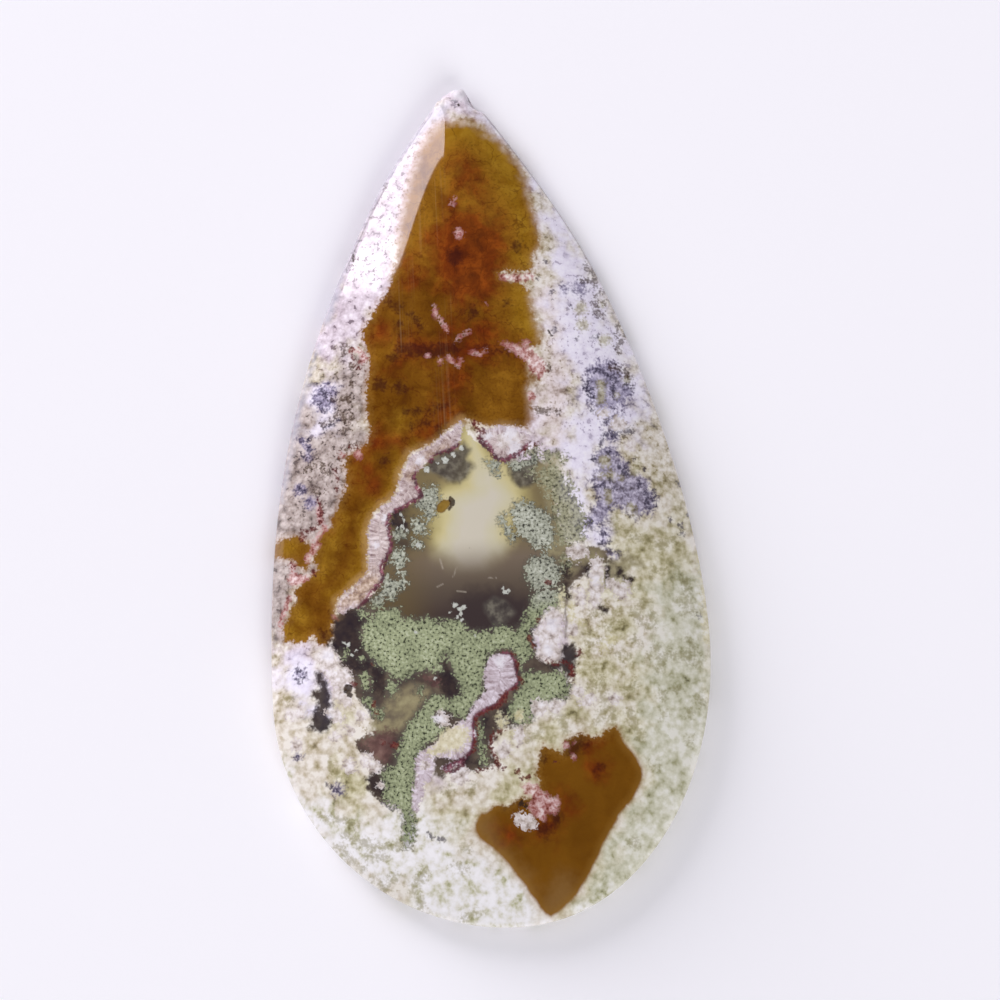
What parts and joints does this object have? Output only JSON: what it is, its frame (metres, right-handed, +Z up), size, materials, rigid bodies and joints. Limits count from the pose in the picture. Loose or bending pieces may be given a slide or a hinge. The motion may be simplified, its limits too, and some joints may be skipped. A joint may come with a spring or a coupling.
{
  "type": "moss agate cabochon",
  "caption": "Long pear-shaped polished agate cabochon with a low dome, short girdle and flat back, loose and ready to be set.",
  "frame": {"origin": "middle of the stone's box, on the flat back that it rests on", "axes": "+Y from the round foot to the pointed tip, +Z up out of the dome, +X to the right seen from above with the tip away"},
  "size_m": [0.0256, 0.05, 0.0055],
  "materials": {
    "polished_agate": "high polish"
  },
  "bodies": {
    "root": {"cabochon": "polished_agate"}
  },
  "joints": []
}
